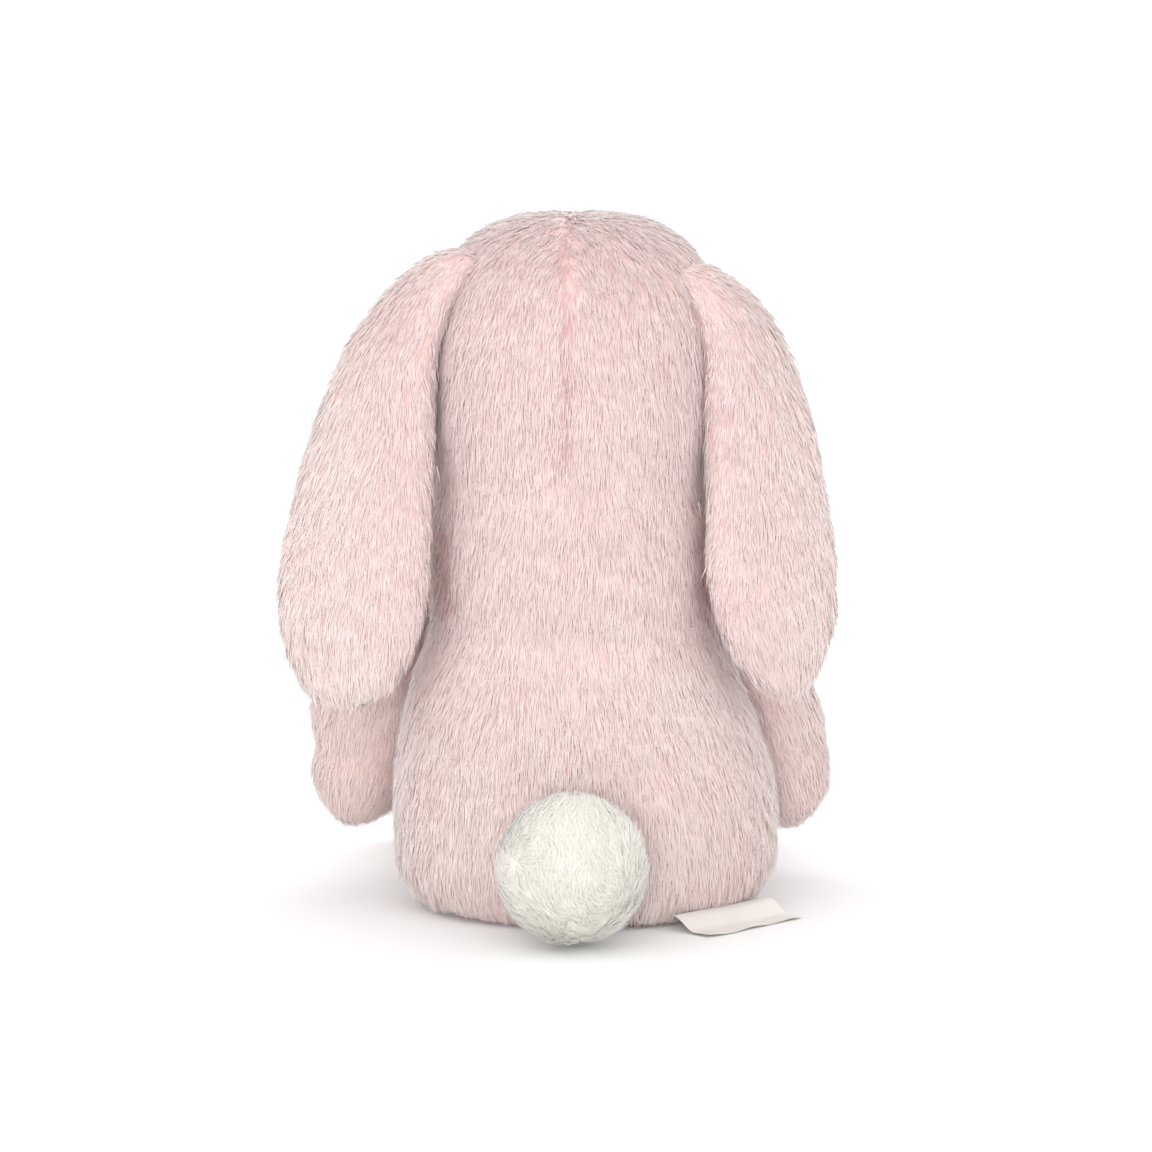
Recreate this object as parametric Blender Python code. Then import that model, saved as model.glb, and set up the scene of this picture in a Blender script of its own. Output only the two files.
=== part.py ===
"""Sitting plush rabbit with long lop ears, sewn from separate panels around stuffing.

The rabbit faces -Y and sits on Z = 0, with its seam plane on X = 0. Its left side is +X.
Sizes are in millimetres up to the point where a mesh is made.
"""

import math

import bmesh
import bpy
import numpy as np
from mathutils import Matrix, Vector

MM = 0.001

# Fabric and clearances
SKIN = 3.4  # backing and the dense foot of the pile
SEAM = 0.6  # between two panels that are sewn to each other
FIT = 0.5  # between a panel and what is beside it
FILL_GAP = 2.0  # between a panel and the stuffing inside it

# Body: a pear of stacked ovals that ends in a round neck rim
BODY_HEIGHT = 107.0
BODY_HALF_WIDTH = 59.5
BODY_BACK = 47.0
BODY_FRONT = 48.5
NECK_RADIUS = 39.5
NECK_Y = -2.0
# Height, width and depth as shares of the sizes above, from the seat up to below the neck
BODY_SHAPE = (
    (0.010, 0.80, 0.82),
    (0.045, 0.89, 0.90),
    (0.110, 0.965, 0.96),
    (0.260, 1.00, 1.00),
    (0.420, 0.975, 0.985),
    (0.560, 0.915, 0.94),
    (0.700, 0.835, 0.875),
    (0.840, 0.750, 0.81),
)
SIDE_SEAM_DEG = 118.0  # from the back seam to the belly's seam
SEAT_INSET = 4.6  # from the body's lowest edge to the seat panel's
POUCH_TOP = 26.0
RIM_RISE = 2.05  # how far the stuffing rises round the hollow that the head turns in

# Head: a ball that turns in the body's neck, with a fuller top
NECK_BALL_RADIUS = 44.0
HEAD_HALF_WIDTH = 46.5
HEAD_RISE = 60.0  # from the head's widest height to its crown
HEAD_WIDEST_OVER_BALL = 24.0
HEAD_ROUNDNESS = 2.2
NECK_BALL_TOP_DEG = 111.0  # where the ball gives way to the head's own curve
MUZZLE_LENGTH = 12.0
MUZZLE_OVER_BALL = 9.0
MUZZLE_HALF_HEIGHT = 15.0
MUZZLE_HALF_ANGLE_DEG = 27.0
GUSSET_HALF_ANGLE_DEG = 34.0

# Ears
EAR_LENGTH = 135.0
EAR_HALF_WIDTH = 25.5
EAR_HALF_THICK = 5.5
EAR_ROOT_DROP = 17.0  # from the crown down to where the ear is sewn on
EAR_ROOT_Y = 9.5
EAR_SPREAD_DEG = {1: 7.5, -1: 4.5}
EAR_SHOULDER_DEG = 50.0  # how far the ear leans out over the head's side, at its root
EAR_BACK_DEG = 3.0
EAR_ROOT_BACK_DEG = 16.0
EAR_FACE_DEG = 20.0  # how far the ear's back turns outward at its lower end
EAR_WIDTH_SHAPE = (
    (0.0, 0.44),
    (0.15, 0.65),
    (0.36, 0.83),
    (0.58, 0.96),
    (0.74, 1.0),
    (0.87, 0.88),
    (0.95, 0.62),
    (1.0, 0.30),
)

# Arms
ARM_TOP_RADIUS = 13.0
PAW_RADIUS = 15.0
SHOULDER_HEIGHT = 95.0
PAW_HEIGHT = 42.0
SHOULDER_ANGLE_DEG = 120.0
PAW_ANGLE_DEG = {1: 116.0, -1: 124.0}

# Legs
HIP_RADIUS = 18.5
HIP_X = 33.0
HIP_AHEAD = 43.0  # how far the back of the hip is in front of the middle
LEG_LENGTH = 47.0
FOOT_HALF_WIDTH = 20.0
FOOT_RISE = 24.0
LEG_SPLAY_DEG = 13.0
FLOOR_GAP = 0.4

# Tail
TAIL_RADIUS = 21.5
TAIL_HOLE_DEG = 18.0
TAIL_GAP = 0.4

# Face
EYE_RADIUS = 4.6
EYE_POST_RADIUS = 1.6
EYE_ANGLE_DEG = 138.0
EYE_OVER_BALL = 30.0
WASHER_RADIUS = 5.6
WASHER_THICK = 1.2
NOSE_HALF_WIDTH = 6.0
NOSE_HEIGHT = 7.0
NOSE_THICK = 1.4
MOUTH_HALF_WIDTH = 7.5
THREAD_WIDTH = 1.3
STITCH_LIFT = 1.2  # the threads lie on the pile

# Sewn-in label
LABEL_WIDTH = 42.0
LABEL_REACH = 14.0
LABEL_THICK = 0.6
LABEL_ANGLE_DEG = -50.0  # from the back seam round to the right side
LABEL_SEAM_HEIGHT = 5.5

PINK = (0.83, 0.66, 0.63)
COLOURS = {
    "pink_plush": (PINK, 0.95),
    "pink_ear_lining": ((0.84, 0.68, 0.66), 0.95),
    "pink_sole_plush": ((0.82, 0.64, 0.62), 0.9),
    "cream_plush": ((0.91, 0.88, 0.82), 0.95),
    "white_stuffing": ((0.9, 0.9, 0.88), 1.0),
    "cotton_pouch": ((0.78, 0.74, 0.66), 0.9),
    "black_bead": ((0.012, 0.01, 0.01), 0.12),
    "white_washer": ((0.8, 0.8, 0.8), 0.4),
    "rose_thread": ((0.55, 0.25, 0.26), 0.6),
    "satin_label": ((0.89, 0.85, 0.8), 0.45),
}


def material(name):
    found = bpy.data.materials.get(name)
    if found:
        return found
    made = bpy.data.materials.new(name)
    made.use_nodes = True
    colour, roughness = COLOURS[name]
    made.diffuse_color = (*colour, 1)
    shader = made.node_tree.nodes["Principled BSDF"]
    shader.inputs["Base Color"].default_value = (*colour, 1)
    shader.inputs["Roughness"].default_value = roughness
    shader.inputs["Metallic"].default_value = 0.0
    return made


def through(x, shape, column):
    """A smooth curve through one column of a shape's rows."""
    xs = np.array([row[0] for row in shape])
    ys = np.array([row[column] for row in shape])
    slopes = np.gradient(ys, xs)
    i = np.clip(np.searchsorted(xs, x) - 1, 0, len(xs) - 2)
    step = xs[i + 1] - xs[i]
    t = np.clip((x - xs[i]) / step, 0, 1)
    return (
        (1 + 2 * t) * (1 - t) ** 2 * ys[i]
        + t * (1 - t) ** 2 * step * slopes[i]
        + t**2 * (3 - 2 * t) * ys[i + 1]
        - t**2 * (1 - t) * step * slopes[i + 1]
    )


def unit(vectors):
    return vectors / np.linalg.norm(vectors, axis=-1, keepdims=True)


class Form:
    """Ovals stacked along a local Z. u is the angle from local +Y towards +X; v runs from 0 to 1 up the side.

    Each row is height, half-width, depth towards +Y, depth towards -Y, centre's Y.
    """

    def __init__(self, rows, matrix=None, bulge=None):
        self.rows = np.array(rows, float)
        steps = np.linalg.norm(np.diff(self.rows[:, :2], axis=0), axis=1)
        self.v = np.concatenate([[0], np.cumsum(steps)]) / steps.sum()
        self.matrix = np.array(matrix if matrix is not None else Matrix())
        self.bulge = bulge or (lambda u, z: 0 * u)

    def row(self, v):
        return [np.interp(v, self.v, self.rows[:, k]) for k in range(5)]

    def v_at(self, height):
        return float(np.interp(height, self.rows[:, 0], self.v))

    def point(self, u, v):
        u, v = np.broadcast_arrays(u, v)
        z, wide, back, front, y = self.row(v)
        deep = np.where(np.cos(u) > 0, back, front) + self.bulge(u, z)
        local = np.stack([wide * np.sin(u), y + deep * np.cos(u), z], axis=-1)
        return local @ self.matrix[:3, :3].T + self.matrix[:3, 3]

    def normal(self, u, v):
        e = 2e-3
        along_u = self.point(u + e, v) - self.point(u - e, v)
        low, high = np.clip(v - e, 0, 1), np.clip(v + e, 0, 1)
        along_v = self.point(u, high) - self.point(u, low)
        return unit(np.cross(along_v, along_u))


def finish(name, verts, faces, mat, pivot, tidy=False):
    """One object with its origin on the pivot of the piece it moves with."""
    mesh = bpy.data.meshes.new(name)
    local = (np.asarray(verts, float) - np.asarray(pivot, float)) * MM
    mesh.from_pydata([Vector(p) for p in local], [], faces)
    if tidy:
        bm = bmesh.new()
        bm.from_mesh(mesh)
        bmesh.ops.recalc_face_normals(bm, faces=bm.faces)
        bm.to_mesh(mesh)
        bm.free()
    mesh.materials.append(material(mat))
    mesh.shade_smooth()
    mesh.set_sharp_from_angle(angle=math.radians(55))
    obj = bpy.data.objects.new(name, mesh)
    obj.location = Vector(pivot) * MM
    bpy.context.scene.collection.objects.link(obj)
    return obj


def grid_faces(rows, columns, wrap=False):
    across = columns if wrap else columns - 1
    return [
        (
            i * columns + j,
            (i + 1) * columns + j,
            (i + 1) * columns + (j + 1) % columns,
            i * columns + (j + 1) % columns,
        )
        for i in range(rows - 1)
        for j in range(across)
    ]


def thicken(obj):
    skin = obj.modifiers.new("Thickness", "SOLIDIFY")
    skin.thickness = SKIN * MM
    skin.offset = -1.0
    skin.use_even_offset = True
    skin.use_rim = True
    return obj


def two_sided(name, outer, inner, mat, pivot):
    """A patch of cloth between two grids of points, closed around its border."""
    rows, columns = outer.shape[:2]
    total = rows * columns
    faces = grid_faces(rows, columns)
    faces += [tuple(k + total for k in reversed(face)) for face in faces]
    border = list(range(columns))
    border += [i * columns + columns - 1 for i in range(1, rows)]
    border += [(rows - 1) * columns + j for j in range(columns - 2, -1, -1)]
    border += [i * columns for i in range(rows - 2, 0, -1)]
    around = zip(border, border[1:] + border[:1])
    faces += [(a, b, b + total, a + total) for a, b in around]
    verts = np.concatenate([outer.reshape(-1, 3), inner.reshape(-1, 3)])
    return finish(name, verts, faces, mat, pivot, tidy=True)


def panel(name, form, sides_deg, v_range, counts, mat, pivot):
    """A plush panel: a patch of the form's surface and the same patch, inside the fabric."""
    vs = np.linspace(*v_range, counts[1])[:, None]
    edge = SEAM / 2 / (form.row(vs)[1] - 0.5 * SKIN)
    low, high = (math.radians(s) for s in sides_deg)
    share = np.linspace(0, 1, counts[0])[None, :]
    us = (low + edge) + (high - low - 2 * edge) * share
    outer = form.point(us, vs)
    inner = outer - SKIN * form.normal(us, vs)
    return two_sided(name, outer, inner, mat, pivot)


def ring_points(form, v, count, inset=0.0):
    us = np.linspace(0, 2 * math.pi, count, endpoint=False)
    points = form.point(us, v)
    return points - inset * form.normal(us, v) if inset else points


def closed_rings(name, rings, mat, pivot, low_pole=True, high_pole=True):
    """Rings of points joined in order, with a fan over each end that has a pole."""
    count = len(rings[0])
    verts = np.concatenate(rings)
    faces = grid_faces(len(rings), count, wrap=True)
    if low_pole:
        faces += [(len(verts), j, (j + 1) % count) for j in range(count)]
        verts = np.concatenate([verts, [rings[0].mean(axis=0)]])
    if high_pole:
        top = (len(rings) - 1) * count
        faces += [
            (len(verts), top + (j + 1) % count, top + j) for j in range(count)
        ]
        verts = np.concatenate([verts, [rings[-1].mean(axis=0)]])
    return finish(name, verts, faces, mat, pivot, tidy=low_pole and high_pole)


def stuffing(name, form, v_range, counts, pivot, gap=FILL_GAP):
    vs = np.linspace(*v_range, counts[1])
    rings = [ring_points(form, v, counts[0], SKIN + gap) for v in vs]
    return closed_rings(name, rings, "white_stuffing", pivot)


def cylinder(name, radius, ends, axis, centre):
    """A hidden cutter along an axis, from ends[0] to ends[1] past its centre."""
    bm = bmesh.new()
    bmesh.ops.create_cone(
        bm,
        cap_ends=True,
        segments=14,
        radius1=radius * MM,
        radius2=radius * MM,
        depth=(ends[1] - ends[0]) * MM,
    )
    mesh = bpy.data.meshes.new(name)
    bm.to_mesh(mesh)
    bm.free()
    obj = bpy.data.objects.new(name, mesh)
    obj.location = (Vector(centre) + Vector(axis) * sum(ends) / 2) * MM
    obj.rotation_euler = Vector(axis).to_track_quat("Z", "Y").to_euler()
    obj.hide_render = True
    obj.display_type = "WIRE"
    bpy.context.scene.collection.objects.link(obj)
    return obj


def cut(obj, cutter):
    hole = obj.modifiers.new("Hole", "BOOLEAN")
    hole.operation = "DIFFERENCE"
    hole.object = cutter
    hole.solver = "EXACT"


def turned(name, profile, axis, centre, mat, pivot, ring=False):
    """A profile of (radius, distance along the axis) turned about that axis."""
    count = 14
    turn = np.array(Vector(axis).to_track_quat("Z", "Y").to_matrix())
    angles = np.linspace(0, 2 * math.pi, count, endpoint=False)
    rings = [
        np.stack([r * np.cos(angles), r * np.sin(angles), 0 * angles + z], axis=-1)
        @ turn.T
        + np.asarray(centre)
        for r, z in profile
    ]
    if not ring:
        return closed_rings(name, rings, mat, pivot)
    rings.append(rings[0])
    verts = np.concatenate(rings[:-1])
    total = len(verts)
    faces = [
        tuple(k % total for k in face)
        for face in grid_faces(len(rings), count, wrap=True)
    ]
    return finish(name, verts, faces, mat, pivot, tidy=True)


def frame_matrix(z_axis, y_hint, origin):
    z = unit(np.asarray(z_axis, float))
    y = unit(np.asarray(y_hint, float) - np.dot(y_hint, z) * z)
    matrix = np.eye(4)
    matrix[:3, 0], matrix[:3, 1], matrix[:3, 2] = np.cross(y, z), y, z
    matrix[:3, 3] = origin
    return matrix


def body_form():
    heights = np.linspace(BODY_SHAPE[0][0], 1, 60)
    shape = [
        (
            h,
            w * BODY_HALF_WIDTH,
            d * BODY_BACK,
            d * BODY_FRONT,
        )
        for h, w, d in BODY_SHAPE
    ]
    shape.append((1.0, NECK_RADIUS, NECK_RADIUS + NECK_Y, NECK_RADIUS - NECK_Y))
    return Form(
        [
            (h * BODY_HEIGHT, *(through(h, shape, k) for k in (1, 2, 3)), 0)
            for h in heights
        ]
    )


def head_form(ball):
    low_end = math.radians(NECK_BALL_TOP_DEG)
    rows = []
    for turn in np.linspace(0.02, low_end, 40):
        radius = NECK_BALL_RADIUS * math.sin(turn)
        rows.append((ball[2] - NECK_BALL_RADIUS * math.cos(turn), radius))
    widest = ball[2] + HEAD_WIDEST_OVER_BALL
    start, radius = rows[-1]
    power = HEAD_ROUNDNESS
    share = (1 - min(radius / HEAD_HALF_WIDTH, 0.999) ** power) ** (1 / power)
    drop = (widest - start) / share
    for rise in np.linspace(0, 1, 24)[1:-1]:
        height = start + rise * (widest - start)
        side = (1 - ((widest - height) / drop) ** power) ** (1 / power)
        rows.append((height, HEAD_HALF_WIDTH * side))
    for turn in np.linspace(0, math.pi / 2 - 0.02, 60):
        rows.append(
            (
                widest + HEAD_RISE * math.sin(turn) ** (2 / power),
                HEAD_HALF_WIDTH * math.cos(turn) ** (2 / power),
            )
        )

    def bulge(u, z):
        off = (np.asarray(u) % (2 * math.pi) - math.pi) / math.radians(
            MUZZLE_HALF_ANGLE_DEG
        )
        over = (z - ball[2] - MUZZLE_OVER_BALL) / MUZZLE_HALF_HEIGHT
        clear = np.clip((z - BODY_HEIGHT - 4) / 12, 0, 1)
        blend = clear**2 * (3 - 2 * clear)
        return MUZZLE_LENGTH * np.exp(-(off**2) - over**2) * blend

    return Form([(z, r, r, r, ball[1]) for z, r in rows], bulge=bulge)


def make_body(body, ball):
    """Two back panels, the belly, the seat, the bead pouch and the stuffing."""
    root = (0, 0, 0)
    side = SIDE_SEAM_DEG
    panel("back_panel_left", body, (0, side), (0, 1), (8, 9), "pink_plush", root)
    panel("back_panel_right", body, (-side, 0), (0, 1), (8, 9), "pink_plush", root)
    panel("belly_panel", body, (side, 360 - side), (0, 1), (8, 9), "pink_plush", root)

    lowest = body.row(0.0)
    wide, back, front = (r - SEAT_INSET for r in lowest[1:4])
    seat = Form([(h, wide, back, front, 0) for h in (0.0, SKIN - 0.4)])
    rings = [ring_points(seat, v, 24) for v in (0.0, 1.0)]
    closed_rings("seat_panel", rings, "pink_plush", root)

    inside = SKIN + FILL_GAP
    floor = SKIN + 0.2
    pouch = []
    for height, inset in (
        (floor, 2.6 * inside),
        (floor + 4, 1.5 * inside),
        (0.5 * POUCH_TOP, inside),
        (POUCH_TOP, inside),
    ):
        _, wide, back, front, y = body.row(body.v_at(height))
        radii = (r - inset for r in (wide, back, front))
        row = (*radii, y)
        oval = Form([(height, *row), (height + 1, *row)])
        pouch.append(ring_points(oval, 0.0, 20))
    closed_rings("bead_pouch", pouch, "cotton_pouch", root)

    cup = NECK_BALL_RADIUS + FILL_GAP
    rim = math.asin((NECK_RADIUS - inside - 1.6) / cup)
    low = body.v_at(POUCH_TOP + 2 * FIT)
    high = body.v_at(ball[2] - cup * math.cos(rim) + RIM_RISE)
    vs = np.linspace(low, high, 7)
    rings = [ring_points(body, v, 20, inside) for v in vs]
    rings[0][:, 2] = POUCH_TOP + 2 * FIT
    us = np.linspace(0, 2 * math.pi, 20, endpoint=False)
    for turn in np.linspace(rim, 0.1, 5):
        reach = cup * math.sin(turn)
        drop = np.full_like(us, ball[2] - cup * math.cos(turn))
        ring = (reach * np.sin(us), ball[1] + reach * np.cos(us), drop)
        rings.append(np.stack(ring, axis=-1))
    closed_rings("body_stuffing", rings, "white_stuffing", root)


def on_head(head, ball, angle_deg, over_ball):
    u, v = math.radians(angle_deg), head.v_at(ball[2] + over_ball)
    return head.point(u, v), head.normal(u, v)


def make_head(head, ball):
    """Two sides, the face gusset, the stuffing, safety eyes, nose and mouth."""
    edge = 180 - GUSSET_HALF_ANGLE_DEG
    crown = head.v_at(ball[2] + HEAD_WIDEST_OVER_BALL + HEAD_RISE - 0.05)
    span = (head.v_at(ball[2] - NECK_BALL_RADIUS * 0.93), crown)
    left = panel(
        "head_side_left", head, (0, edge), span, (9, 11), "pink_plush", ball
    )
    right = panel(
        "head_side_right", head, (-edge, 0), span, (9, 11), "pink_plush", ball
    )
    panel(
        "face_gusset", head, (edge, 360 - edge), span, (9, 15), "pink_plush", ball
    )
    fill = stuffing(
        "head_stuffing",
        head,
        (head.v_at(ball[2] - NECK_BALL_RADIUS * 0.97), crown),
        (22, 15),
        ball,
        gap=1.3 * FILL_GAP,
    )
    for side, word, shell in ((1, "left", left), (-1, "right", right)):
        where, axis = on_head(head, ball, side * EYE_ANGLE_DEG, EYE_OVER_BALL)
        bead = [
            (EYE_RADIUS * math.cos(a), 0.4 + 0.9 * EYE_RADIUS * math.sin(a))
            for a in np.linspace(1.35, 0, 4)
        ]
        under = [(EYE_RADIUS * 0.8, 0.3), (EYE_POST_RADIUS, 0.3)]
        depth = SKIN + FIT + WASHER_THICK + 2.6
        post = [(EYE_POST_RADIUS, -depth)]
        turned(
            f"eye_{word}", bead + under + post, axis, where, "black_bead", ball
        )
        near = SKIN + 1.3
        inner = EYE_POST_RADIUS + 0.3
        ring = [
            (inner, -near),
            (WASHER_RADIUS, -near),
            (WASHER_RADIUS, -near - WASHER_THICK),
            (inner, -near - WASHER_THICK),
        ]
        turned(
            f"eye_washer_{word}", ring, axis, where, "white_washer", ball, ring=True
        )
        bore = cylinder(f"eye_hole_{word}", inner, (-9, 6), axis, where)
        cut(shell, bore)
        room = cylinder(
            f"eye_room_{word}", WASHER_RADIUS + 0.6, (-depth - 0.6, 6), axis, where
        )
        cut(fill, room)

    def stitched(name, us, vs, thickness):
        out = head.normal(us, vs)
        inner = head.point(us, vs) + STITCH_LIFT * out
        two_sided(name, inner + thickness * out, inner, "rose_thread", ball)

    face = NECK_BALL_RADIUS + MUZZLE_LENGTH
    tall = head.v_at(ball[2] + 1) - head.v_at(ball[2])
    middle = head.v_at(ball[2] + MUZZLE_OVER_BALL + 3)
    rows = np.linspace(-0.5, 0.5, 5)[:, None]
    widths = NOSE_HALF_WIDTH / face * np.sqrt(0.12 + (rows + 0.5) * 0.88)
    across = np.linspace(-1, 1, 5)[None, :]
    stitched(
        "nose_embroidery",
        math.pi + across * widths,
        middle + rows * NOSE_HEIGHT * tall + 0 * across,
        NOSE_THICK,
    )
    across = np.linspace(-1, 1, 7)[None, :]
    rows = np.array([-0.5, 0.5])[:, None]
    lip = middle - (NOSE_HEIGHT * 0.5 + 5.2) * tall
    smile = 2.4 * tall * np.abs(np.sin(across * math.pi / 2)) ** 1.5
    stitched(
        "mouth_stitch",
        math.pi + across * MOUTH_HALF_WIDTH / face + 0 * rows,
        lip + smile + rows * THREAD_WIDTH * tall,
        0.9,
    )


def ear_sections(side, pivot):
    """The ear's middle line with the directions along it, across it and out of its back."""
    spread = math.radians(EAR_SPREAD_DEG[side])
    at = np.array(pivot, float)
    sections = []
    steps = int(EAR_LENGTH)
    for i in range(steps + 1):
        s = i * EAR_LENGTH / steps
        out = spread + math.radians(EAR_SHOULDER_DEG) * math.exp(-s / 14)
        back = math.radians(
            EAR_BACK_DEG + (EAR_ROOT_BACK_DEG - EAR_BACK_DEG) * math.exp(-s / 34)
        )
        face = math.radians(EAR_FACE_DEG + (90 - EAR_FACE_DEG) * math.exp(-s / 30))
        down = unit(np.array([side * math.sin(out), math.tan(back), -math.cos(out)]))
        across = np.array([side * math.cos(face), -math.sin(face), 0.0])
        across = unit(across - np.dot(across, down) * down)
        outward = np.cross(down, across)
        outward *= np.sign(
            np.dot(outward, [side * math.sin(face), math.cos(face), 0])
        )
        sections.append((at.copy(), down, across, outward))
        at = at + down * EAR_LENGTH / steps
    return sections


def make_ear(side, word, pivot):
    """The ear's outer panel and its lining, face to face, rolled over at the root."""
    sections = ear_sections(side, pivot)
    share = np.concatenate(
        [np.linspace(0, 0.86, 9), [0.92, 0.97, 1.0]]
    )
    chord = np.sin(np.linspace(-math.pi / 2, math.pi / 2, 7))
    bow = 0.26 + 0.74 * np.sqrt(np.clip(1 - chord**2, 0, 1))
    middle, normal, thick = [], [], []
    for turn in (-1.25, -0.7):
        at, down, across, outward = sections[0]
        half = EAR_HALF_WIDTH * through(0.0, EAR_WIDTH_SHAPE, 1)
        centre = at + down * EAR_HALF_THICK * math.sin(turn)
        middle.append(centre + np.outer(chord * half, across))
        normal.append(np.tile(outward, (len(chord), 1)))
        thick.append(EAR_HALF_THICK * math.cos(turn) * bow)
    for t in share:
        at, down, across, outward = sections[round(t * (len(sections) - 1))]
        half = EAR_HALF_WIDTH * through(t, EAR_WIDTH_SHAPE, 1)
        tip = math.sqrt(max(0.16, 1 - max(0, (t - 0.86) / 0.15) ** 2))
        middle.append(at + np.outer(chord * half, across))
        normal.append(np.tile(outward, (len(chord), 1)))
        thick.append(EAR_HALF_THICK * bow * tip)
    middle, normal = np.array(middle), np.array(normal)
    thick = np.array(thick)[:, :, None]
    gap = SEAM / 4
    for name, sign, mat in (
        (f"ear_{word}_outer", 1, "pink_plush"),
        (f"ear_{word}_lining", -1, "pink_ear_lining"),
    ):
        inner = middle + sign * gap * normal
        outer = middle + sign * thick * normal
        two_sided(name, outer, inner, mat, pivot)


def arm_form(side, body):
    def beside(angle_deg, height, radius):
        u, v = side * math.radians(angle_deg), body.v_at(height)
        return body.point(u, v) + (radius + 3 * FIT) * body.normal(u, v)

    top = beside(SHOULDER_ANGLE_DEG, SHOULDER_HEIGHT, ARM_TOP_RADIUS)
    paw = beside(PAW_ANGLE_DEG[side], PAW_HEIGHT, PAW_RADIUS)
    length = np.linalg.norm(paw - top)
    rows = [
        (-ARM_TOP_RADIUS * math.cos(a), ARM_TOP_RADIUS * math.sin(a))
        for a in np.linspace(0.05, math.pi / 2, 12)
    ]
    rows += [
        (t * length, ARM_TOP_RADIUS + (PAW_RADIUS - ARM_TOP_RADIUS) * t)
        for t in (0.25, 0.5, 0.75)
    ]
    rows += [
        (length + PAW_RADIUS * math.sin(a), PAW_RADIUS * math.cos(a))
        for a in np.linspace(0, math.pi / 2 - 0.05, 12)
    ]
    matrix = frame_matrix(paw - top, (side, 0, 0), top)
    return Form([(z, r, r, r, 0) for z, r in rows], matrix), top


def make_arm(side, word, body):
    form, top = arm_form(side, body)
    span, counts = (0.035, 0.965), (7, 9)
    panel(f"arm_{word}_outer", form, (-90, 90), span, counts, "pink_plush", top)
    panel(f"arm_{word}_inner", form, (90, 270), span, counts, "pink_plush", top)
    stuffing(f"arm_{word}_stuffing", form, (0.02, 0.98), (12, 8), top)


def make_leg(side, word):
    """A bag that is open at the foot, its sole and its stuffing."""
    hip = np.array(
        [side * HIP_X, -HIP_AHEAD - HIP_RADIUS, HIP_RADIUS + FLOOR_GAP]
    )
    rows = [
        (-HIP_RADIUS * math.cos(a), *[HIP_RADIUS * math.sin(a)] * 3, 0)
        for a in np.linspace(0.05, math.pi / 2, 12)
    ]
    ankle, toe = 0.94 * HIP_RADIUS, 1.06 * HIP_RADIUS
    shape = (
        (0.0, HIP_RADIUS, HIP_RADIUS, HIP_RADIUS),
        (0.5, ankle, ankle, ankle),
        (0.85, FOOT_HALF_WIDTH, FOOT_RISE, toe),
        (1.0, 0.95 * FOOT_HALF_WIDTH, 0.96 * FOOT_RISE, 0.97 * toe),
    )
    for t in np.linspace(0.08, 1, 12):
        wide, up, under = (through(t, shape, k) for k in (1, 2, 3))
        rows.append((t * LEG_LENGTH, wide, up, under, under - HIP_RADIUS))
    splay = math.radians(LEG_SPLAY_DEG)
    ahead = (side * math.sin(splay), -math.cos(splay), 0)
    matrix = frame_matrix(ahead, (0, 0, 1), hip)
    form = Form(rows, matrix)

    vs = np.linspace(0.03, 1, 9)
    rings = [ring_points(form, v, 16) for v in vs]
    bag = closed_rings(
        f"leg_{word}_cover", rings, "pink_plush", hip, high_pole=False
    )
    thicken(bag)

    at, wide, up, under, y = rows[-1]
    face = [
        (at + FIT, 0.97),
        (at + FIT + 0.5 * SKIN, 0.97),
        (at + FIT + 0.85 * SKIN, 0.86),
    ]
    sole = Form([(z, k * wide, k * up, k * under, y) for z, k in face], matrix)
    rings = [ring_points(sole, v, 16) for v in (0, sole.v[1], 1)]
    closed_rings(f"leg_{word}_sole", rings, "pink_sole_plush", hip)
    stuffing(f"leg_{word}_stuffing", form, (0.045, 0.99), (14, 7), hip)


def make_tail(body):
    height = TAIL_RADIUS + FLOOR_GAP
    seam_y = float(body.point(0.0, body.v_at(height))[1])
    centre = (0, seam_y + TAIL_GAP + TAIL_RADIUS, height)
    pivot = (0, seam_y + TAIL_GAP, height)
    rows = [
        (-TAIL_RADIUS * math.cos(a), *[TAIL_RADIUS * math.sin(a)] * 3, 0)
        for a in np.linspace(math.radians(TAIL_HOLE_DEG), math.pi - 0.05, 24)
    ]
    form = Form(rows, frame_matrix((0, 1, 0), (0, 0, 1), centre))
    rings = [ring_points(form, v, 16) for v in np.linspace(0, 0.98, 8)]
    cover = closed_rings(
        "tail_cover", rings, "cream_plush", pivot, low_pole=False
    )
    thicken(cover)
    stuffing("tail_stuffing", form, (0.06, 0.96), (12, 6), pivot)


def make_label(body):
    u, v = math.radians(LABEL_ANGLE_DEG), body.v_at(LABEL_SEAM_HEIGHT)
    outward = body.normal(u, v) * np.array([1, 1, 0])
    outward = unit(outward)
    seam = body.point(u, v) + 1.2 * outward
    drop = LABEL_SEAM_HEIGHT - LABEL_THICK - FLOOR_GAP
    slope = math.asin(drop / LABEL_REACH)
    away = outward * math.cos(slope) - np.array([0, 0, math.sin(slope)])
    sideways = np.cross([0, 0, 1], outward)
    up = np.cross(away, sideways)
    bm = bmesh.new()
    bmesh.ops.create_cube(bm, size=1.0)
    sizes = (LABEL_REACH, LABEL_WIDTH, LABEL_THICK)
    bmesh.ops.scale(bm, vec=Vector(sizes), verts=bm.verts)
    corners = [e for e in bm.edges if abs(e.verts[0].co.z - e.verts[1].co.z) > 0.1]
    bmesh.ops.bevel(
        bm, geom=corners, offset=0.8, segments=2, profile=0.5, affect="EDGES"
    )
    turn = np.stack([away, sideways, up], axis=-1)
    centre = seam + away * LABEL_REACH / 2
    verts = [turn @ np.array(v.co) + centre for v in bm.verts]
    faces = [tuple(v.index for v in f.verts) for f in bm.faces]
    bm.free()
    finish("sewn_label", verts, faces, "satin_label", seam, tidy=True)


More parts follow.
